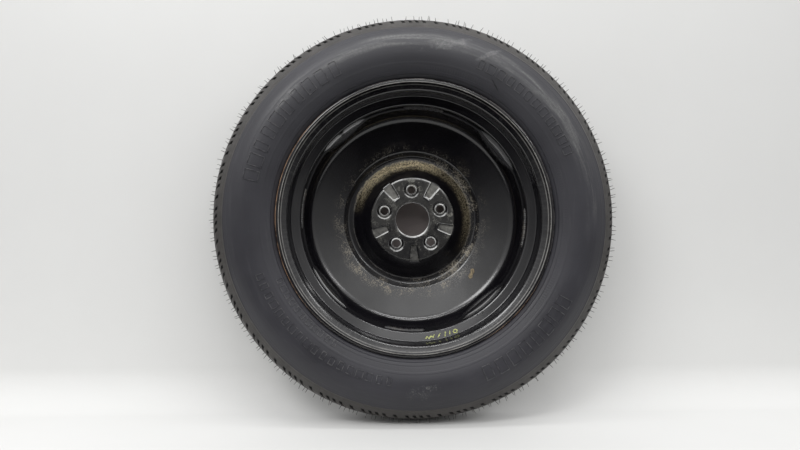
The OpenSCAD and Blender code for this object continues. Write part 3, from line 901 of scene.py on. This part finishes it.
disc = new_piece("disc_pressing", *disc_grid(), sharp=50)
bars = bolt_bars()
drill = disc.modifiers.new("bolt holes", "BOOLEAN")
drill.operation, drill.object, drill.solver = "DIFFERENCE", bars, "EXACT"
drilled = evaluated(disc)
disc.modifiers.remove(drill)
bpy.data.objects.remove(bars)
disc.data = drilled
disc.data.shade_smooth()
disc.data.set_sharp_from_angle(angle=math.radians(50))
disc.data.materials.clear()
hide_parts("disc")

# Distances on the hub's pad: from the middle of the nearest bolt, and sideways from the nearest pocket's
fifth = math.radians(72)
fifth_group, enter, leave = new_group(
    "One fifth of the pad", {"Distance": 0.0, "Angle": 0.0}, ["From bolt", "From pocket"])
for shift, label in ((0.5, "From bolt"), (0.0, "From pocket")):
    turned = total(enter["Angle"], 4 * math.pi - math.radians(bolt_angle) + shift * fifth)
    off = minus(maths("MODULO", turned, fifth), fifth / 2)
    gap = product(enter["Distance"], maths("SINE", off))
    if label == "From bolt":
        ahead = minus(product(enter["Distance"], maths("COSINE", off)), bolt_circle_r / 1000)
        gap = maths("SQRT", total(product(gap, gap), product(ahead, ahead)))
    join(maths("ABSOLUTE", gap), leave[label])


def disc_paint():
    coat = black_paint("disc paint", 0.18)
    place = coat.place
    distance, angle, across = coat.round_axle()
    from_bolt, off_pocket = use_group(fifth_group, {"Distance": distance, "Angle": angle})
    from_pocket = minus(off_pocket, product(minus(distance, pocket_in_r / 1000), pocket_flare))
    up = maths("SINE", angle)
    inside = maths("LESS_THAN", across, 0.0735)
    rings = ring_streaks(distance, angle, 420.0)
    grain = noise(place, 340.0, 4.0, 0.8)

    # A thin cloudy grey tint over the lower part of the bowl, stronger towards the bottom
    film = faded(noise(place, 24.0, 6.0, 0.65), 0.25, 0.8)
    bowl = between(distance, 0.118, 0.196, 0.006)
    coat.cover(product(film, rise(up, 0.4, -0.9), bowl, inside, 0.12), (0.17, 0.17, 0.16), 0.55)

    # Speckled earth round the boss, thickest below it, to its left and in rings to its right
    tan = blend_colours(faded(grain, 0.35, 0.65), (0.17, 0.145, 0.105), (0.46, 0.41, 0.32))
    below = product(seen_towards(angle, 262, 44, 26), 0.9)
    left = product(seen_towards(angle, 200, 48, 25), 0.36)
    outer = product(between(distance, 0.1330, 0.1520, 0.010), total(0.24, total(below, left)))
    right = product(seen_towards(angle, 352, 74, 22), faded(rings, 0.26, 0.52), 1.1)
    top = product(seen_towards(angle, 100, 50, 18), faded(rings, 0.40, 0.58), 0.45)
    inner = product(between(distance, 0.1175, 0.1340, 0.003), most(right, top))
    coat.tint(product(dust(place, 0.58, 0.0026), most(outer, inner), inside), tan, rougher=0.6)

    # Earth that has settled on the upper half of the boss's slope, palest at the upper left
    reach = total(distance, product(minus(noise(place, 70.0, 5.0, 0.7), 0.5), 0.010))
    slope = product(rise(reach, 0.0955, 0.1095), minus(1.0, rise(reach, 0.1165, 0.1205)))
    above = most(seen_towards(angle, 106, 44, 28), product(seen_towards(angle, 30, 48, 25), 0.26))
    grains = total(faded(grain, 0.36, 0.56, 0.1, 0.95), faded(rings, 0.38, 0.62, -0.25, 0.35))
    yellow = blend_colours(faded(grain, 0.40, 0.60), (0.13, 0.10, 0.055), (0.78, 0.66, 0.42))
    coat.tint(clamped(product(slope, above, inside, grains)), yellow, rougher=0.6)
    stained = product(between(reach, 0.0835, 0.098, 0.004), above, faded(rings, 0.4, 0.65), inside, 0.16)
    coat.cover(stained, (0.16, 0.14, 0.115), 0.6)

    # The crest of the nose is rubbed where it was stacked
    rubbed = faded(noise(place, 60.0, 4.0), 0.4, 0.62)
    crest = product(between(distance, 0.1165, 0.1182, 0.0008), rubbed, 0.35)
    coat.cover(product(crest, inside), (0.17, 0.16, 0.14), 0.5)

    # A thin film of dust lies on the pad's flats and is kept off the walls of the pockets and troughs, which
    # stay black as painted shade
    pad = maths("LESS_THAN", distance, 0.0815)
    on_wall = product(between(from_pocket, 0.0042, 0.0082, 0.0005), rise(distance, 0.047, 0.049))
    on_end_wall = product(between(distance, 0.0455, 0.0530, 0.0008), maths("LESS_THAN", from_pocket, 0.0072))
    flats_off_shaded_walls = minus(1.0, most(on_wall, on_end_wall, between(from_bolt, 0.0104, 0.0160, 0.0006)))
    thin = faded(noise(place, 45.0, 5.0, 0.7), 0.3, 0.65, 0.35, 1.0)
    film = product(flats_off_shaded_walls, thin, rise(up, -2.0, 0.6), 0.19)
    coat.cover(product(film, pad, inside), (0.22, 0.215, 0.195), 0.5)

    # Painted highlights: pale lines on the raised edges of the pockets, troughs and nut seats, and on what
    # faces up, stand in for the lamps' glints
    in_light = rise(up, -0.3, 0.1)
    on_pocket = product(between(from_pocket, 0.0062, 0.0078, 0.0005), rise(distance, 0.050, 0.053), in_light)
    across_end = maths("LESS_THAN", from_pocket, 0.0068)
    on_pocket_end = product(between(distance, 0.0486, 0.0504, 0.0005), across_end, in_light)
    on_trough = product(between(from_bolt, 0.0146, 0.0156, 0.0005), 0.2)
    on_seat = between(from_bolt, 0.0088, 0.0104, 0.0005)
    painted_glint_edges = most(most(on_pocket, on_pocket_end), most(on_trough, on_seat))
    upward = put(coat.tree, "ShaderNodeSeparateXYZ", {0: place.node.outputs["Normal"]}).outputs[2]
    painted_glint_edges = most(product(painted_glint_edges, rise(upward, -0.35, 0.25)), rise(upward, 0.30, 0.55))
    rubbed = faded(noise(place, 60.0, 4.0, 0.7), 0.32, 0.55, 0.15, 1.0)
    coat.cover(product(painted_glint_edges, rubbed, pad, inside), (0.72, 0.72, 0.71), 0.3)

    # It is dusty in patches, and its pockets' floors are dull
    patches = product(faded(noise(place, 85.0, 5.0, 0.7), 0.50, 0.68), faded(grain, 0.4, 0.6, 0.4, 1.0))
    outside = product(rise(distance, 0.056, 0.064), seen_towards(angle, 48, 62, 15), 0.9)
    coat.cover(product(product(patches, total(0.35, outside)), pad, inside), (0.24, 0.235, 0.205), 0.6)
    in_pocket = product(maths("LESS_THAN", from_pocket, 0.0050), rise(distance, 0.0515, 0.0535), pad, inside)
    worn = product(faded(noise(place, 120.0, 4.0, 0.7), 0.40, 0.62, 0.3, 1.0), rise(up, -2.2, 0.7))
    coat.cover(product(in_pocket, worn, 0.65), (0.26, 0.255, 0.235), 0.55)
    return coat.done()


disc.data.materials.append(disc_paint())


# Flake
# A loose scale of dried earth and paint that sticks to the lower right of the bowl.
def flake():
    middle = Vector((117.3, 52.3, -107.3))
    out = Vector((-0.28, -0.938, 0.24)).normalized()
    across = Vector((0.55, 0, 0.84)).normalized()
    along = out.cross(across)
    edge = [(-10.5, -1.5), (-8.0, 2.8), (-3.0, 3.6), (1.5, 3.0), (4.5, 6.2), (9.6, 5.0), (10.4, 0.6),
            (5.0, -2.8), (-1.0, -3.0), (-4.5, -5.2), (-8.4, -4.4)]
    points = [middle + across * u + along * v + out * lift for lift in (0.1, 0.7) for u, v in edge]
    return new_piece("earth_flake", [tuple(p) for p in points], tube_faces(2, len(edge)))


scale_of_earth = flake()
coat = Coat("dried earth")
crumbs = faded(noise(coat.place, 300.0, 4.0), 0.35, 0.65)
coat.colour = blend_colours(crumbs, (0.09, 0.07, 0.045), (0.34, 0.27, 0.17))
coat.rough = faded(noise(coat.place, 500.0, 3.0), 0.3, 0.7, 0.7, 0.95)
scale_of_earth.data.materials.append(coat.done())


# Welds
# Four beads of weld metal that join the disc's edge to the floor of the well, laid after
# the disc is pressed in, and painted with the wheel.
def weld_bead(name, middle, phase):
    half_arc, along, around = 10.4, 120, 9
    root_r, root_y = disc_r + 0.5, edge_y + 0.4
    points = []
    for i in range(along + 1):
        t = -1 + 2 * i / along
        a = math.radians(middle + half_arc * t)
        swell = math.sqrt(max(0.0, 1 - abs(t) ** 8)) * 0.9 + 0.1
        ripple = 0.5 + 0.5 * math.sin(i * 2 * math.pi / 5.5 + phase)
        size = (4.0 + 0.7 * ripple + 0.4 * math.sin(i * 0.37 + phase)) * swell
        for b in np.linspace(0, math.pi / 2, around):
            points.append((root_r - size * math.cos(b), a, root_y - size * 1.05 * math.sin(b)))
        points.append((root_r, a, root_y))
    points = [(r * math.cos(a), y, r * math.sin(a)) for r, a, y in points]
    return new_piece(name, points, tube_faces(along + 1, around + 1), sharp=60)


coat = black_paint("weld paint", 0.3)
coat.cover(product(dust(coat.place, 0.6, 0.003), 0.5), (0.16, 0.14, 0.115), 0.7)
weld_material = coat.done()
for k in range(4):
    bead = weld_bead(f"weld_bead_{k + 1}", 85 + 90 * k, k * 1.3)
    bead.data.materials.append(weld_material)
    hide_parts(f"weld_{k + 1}")


# Valve
# A rubber body pulled through the rim, moulded round a brass stem with its core, under a plastic cap.
def plain_material(name, dark, pale, rough, metal, grain):
    coat = Coat(name)
    clouds = noise(coat.place, grain, 4.0)
    coat.colour = blend_colours(faded(clouds, 0.3, 0.7), dark, pale)
    coat.rough = faded(clouds, 0.3, 0.7, rough - 0.06, rough + 0.06)
    coat.bump(noise(coat.place, grain * 4, 2.0), 0.15, 0.0002)
    coat.shader.inputs["Metallic"].default_value = metal
    return coat.done()


for name, finish in {
    "valve_body": ("valve rubber", (0.014, 0.014, 0.015), (0.024, 0.024, 0.026), 0.6, 0.0, 300.0),
    "valve_stem": ("stem brass", (0.45, 0.31, 0.12), (0.62, 0.46, 0.2), 0.38, 1.0, 400.0),
    "valve_core": ("core brass", (0.5, 0.36, 0.15), (0.66, 0.5, 0.24), 0.32, 1.0, 600.0),
    "valve_pin": ("pin brass", (0.55, 0.4, 0.18), (0.7, 0.55, 0.28), 0.25, 1.0, 600.0),
    "valve_seal": ("seal rubber", (0.16, 0.02, 0.015), (0.24, 0.035, 0.025), 0.55, 0.0, 600.0),
    "valve_spring": ("spring wire", (0.42, 0.42, 0.44), (0.6, 0.6, 0.62), 0.3, 1.0, 900.0),
    "valve_cap": ("cap plastic", (0.012, 0.012, 0.013), (0.02, 0.02, 0.021), 0.45, 0.0, 500.0),
}.items():
    nodes[name].data.materials.clear()
    nodes[name].data.materials.append(plain_material(*finish))


# Cap ribs
# Fine ribs moulded round the plastic cap, for fingers to turn it.
def rib_tree():
    """Geometry nodes that stand ribs in a ring round a line from Foot along Way."""
    tree, enter = new_maker(
        "Cap ribs", Radius="Float", Length="Float", Rib="Float", Foot="Vector", Way="Vector", Count="Int")
    ring = put(tree, "GeometryNodeMeshCircle", {"Vertices": enter["Count"], "Radius": enter["Radius"]})
    rib = put(tree, "GeometryNodeMeshCylinder",
              {"Vertices": 8, "Radius": enter["Rib"], "Depth": enter["Length"]})
    ribs = put(tree, "GeometryNodeInstanceOnPoints",
               {"Points": ring.outputs[0], "Instance": rib.outputs[0]}).outputs[0]
    tilt = put(tree, "FunctionNodeAlignEulerToVector", {"Vector": enter["Way"]}, axis="Z").outputs[0]
    stood = put(tree, "GeometryNodeTransform",
                {"Geometry": ribs, "Translation": enter["Foot"], "Rotation": tilt}).outputs[0]
    return made_real(stood, enter["Material"])


valve_way = Vector((0.21551, 0.940855, -0.261435))
cap_points = [v.co.copy() for v in nodes["valve_cap"].data.vertices]
heights = [p.dot(valve_way) for p in cap_points]
cap_middle = sum(cap_points, Vector()) / len(cap_points)
axis_spot = cap_middle - valve_way * cap_middle.dot(valve_way)
cap_radius = max((p - axis_spot - valve_way * p.dot(valve_way)).length for p in cap_points)
cap_length = max(heights) - min(heights)
holder = linked("cap ring", bpy.data.meshes.new("cap ring"))
ribs = grown("cap_ribs", rib_tree(), holder, {
    "Radius": cap_radius - 0.0001, "Length": cap_length * 0.7, "Rib": 0.0004, "Count": 22,
    "Foot": axis_spot + valve_way * (min(heights) + 0.48 * cap_length), "Way": valve_way,
    "Material": nodes["valve_cap"].data.materials[0]}, body="cap")


# Floor and backdrop
# A pale floor, a sheet that curves up from it close behind the wheel, and a dark card that stands
# behind the hub, as the unlit wall behind a sheet does. Only the camera sees the sheet and the card,
# and only from the front, so light and other views reach the wheel's outer side.
def stage_sheet(name, section, half_width, colours, seen_only=False):
    points = [(x, y, z) for y, z in section for x in (-half_width, half_width)]
    faces = [(2 * i, 2 * i + 1, 2 * i + 3, 2 * i + 2) for i in range(len(section) - 1)]
    mesh = bpy.data.meshes.new(name)
    mesh.from_pydata(points, [], faces)
    mesh.shade_smooth()
    coat = Coat(name)
    coat.colour = blend_colours(noise(coat.place, 3.0), *colours)
    coat.rough = faded(noise(coat.place, 5.0), 0.3, 0.7, 0.8, 0.9)
    if seen_only:
        behind = coat.tree.nodes.new("ShaderNodeNewGeometry").outputs["Backfacing"]
        unseen = minus(1.0, coat.tree.nodes.new("ShaderNodeLightPath").outputs["Is Camera Ray"])
        clear = coat.tree.nodes.new("ShaderNodeBsdfTransparent").outputs[0]
        hidden = most(behind, unseen)
        mixed = put(coat.tree, "ShaderNodeMixShader", {0: hidden, 1: coat.shader.outputs[0], 2: clear})
        join(mixed.outputs[0], coat.surface)
    mesh.materials.append(coat.done())
    sheet = linked(name, mesh)


floor_z, wall_y, sweep_r = -0.3692, 0.090, 0.074
sweep = [(wall_y - sweep_r + sweep_r * math.sin(t), floor_z + sweep_r * (1 - math.cos(t)))
         for t in np.radians(np.arange(0, 91, 6))]
card_y = wall_y - 0.004
pale, dark = ((0.66, 0.66, 0.65), (0.70, 0.70, 0.69)), ((0.14, 0.12, 0.116), (0.17, 0.146, 0.142))
stage_sheet("floor", [(-0.45, floor_z), (1.5, floor_z)], 1.6, pale)
stage_sheet("pale sheet", sweep + [(wall_y + 0.01, 0.9)], 1.4, pale, seen_only=True)
stage_sheet("dark card", [(card_y, -0.13), (card_y, 0.13)], 0.13, dark, seen_only=True)


# Light and camera
# Five soft lights above and in front of the wheel, a grey room that the gloss paint mirrors,
# and the camera in front of the middle of the wheel, a little low.
def soft_light(name, place, aim, size, power):
    data = bpy.data.lights.new(name, "AREA")
    data.shape, data.size, data.size_y, data.energy = "RECTANGLE", size[0], size[1], power
    lamp = linked(name, data)
    lamp.location = place
    lamp.rotation_euler = (Vector(aim) - Vector(place)).to_track_quat("-Z", "Y").to_euler()


soft_light("window", (-0.98, -1.27, 1.27), (0, 0, 0), (0.9, 0.6), 13)
soft_light("ceiling tube", (0.2, -1.1, 1.7), (0, 0, 0), (1.4, 0.1), 8)
soft_light("right tube", (1.3, -1.2, 1.0), (0, 0, 0), (0.9, 0.1), 3.5)
soft_light("overhead tube", (0, -0.45, 1.6), (0, 0.05, 0.1), (2.0, 0.12), 9)
soft_light("ceiling panel", (0, -1.7, 1.0), (0, 0, 0), (0.9, 0.5), 1.4)

# The room is bright above the camera, dark below it, and dark straight behind it
world = bpy.data.worlds.new("room")
bpy.context.scene.world = world
world.use_nodes = True
tree = world.node_tree
background = tree.nodes["Background"]
sky = tree.nodes.new("ShaderNodeTexCoord").outputs["Generated"]
way = put(tree, "ShaderNodeSeparateXYZ", {0: sky}).outputs
height = stepped(faded(way[2], -1.0, 1.0), [
    (0.0, 0.01), (0.27, 0.012), (0.34, 0.09), (0.50, 0.36), (0.66, 0.66), (0.76, 1.0), (0.88, 0.75),
    (1.0, 0.45)])
ahead = rise(way[1], -0.985, -0.80, 0.4, 1.0)
room = scaled(height, ahead)
seen = tree.nodes.new("ShaderNodeLightPath").outputs["Is Camera Ray"]
join(blend_colours(seen, room, (0.6, 0.6, 0.59)), background.inputs[0])
background.inputs[1].default_value = 1.25

camera = linked("camera", bpy.data.cameras.new("camera"))
camera.data.lens = 25.47
camera.data.sensor_width = 36
camera.location = (-0.0602, -1.0638, -0.036)
camera.rotation_euler = (math.radians(90 + 1.29), 0, math.radians(-1.84))
bpy.context.scene.camera = camera
bpy.context.scene.view_settings.view_transform = "Standard"
